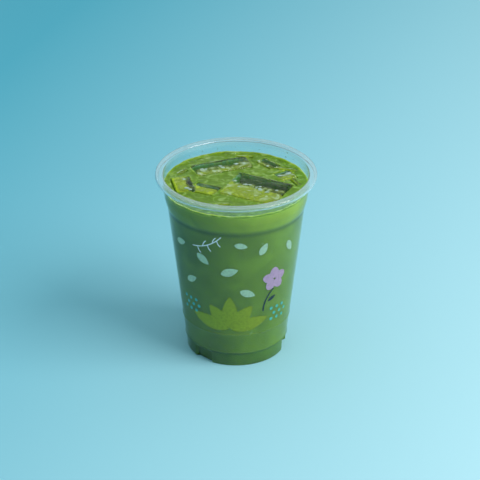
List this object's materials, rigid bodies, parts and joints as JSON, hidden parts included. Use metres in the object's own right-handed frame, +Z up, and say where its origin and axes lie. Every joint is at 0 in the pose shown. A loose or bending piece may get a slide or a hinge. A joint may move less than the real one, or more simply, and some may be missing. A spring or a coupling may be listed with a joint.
{
  "type": "iced matcha latte in a clear plastic cup",
  "caption": "Iced green tea latte with floating ice in a clear, tapered, one-way plastic cup with a rolled lip, a shoulder under the mouth and a recessed foot.",
  "frame": {"origin": "centre of the circle that the cup stands on", "axes": "+Z up along the cup's axis, front of the cup towards -Y"},
  "size_m": [0.098, 0.098, 0.1193],
  "materials": {
    "cup": "clear thermoformed PET, glossy",
    "drink": "opaque milky green tea, wet",
    "ice": "clear wet ice"
  },
  "bodies": {
    "root": {"cup": "cup", "drink": "drink", "ice_large": "ice", "ice_long": "ice", "ice_left": "ice", "ice_back": "ice", "ice_right": "ice"}
  },
  "joints": []
}
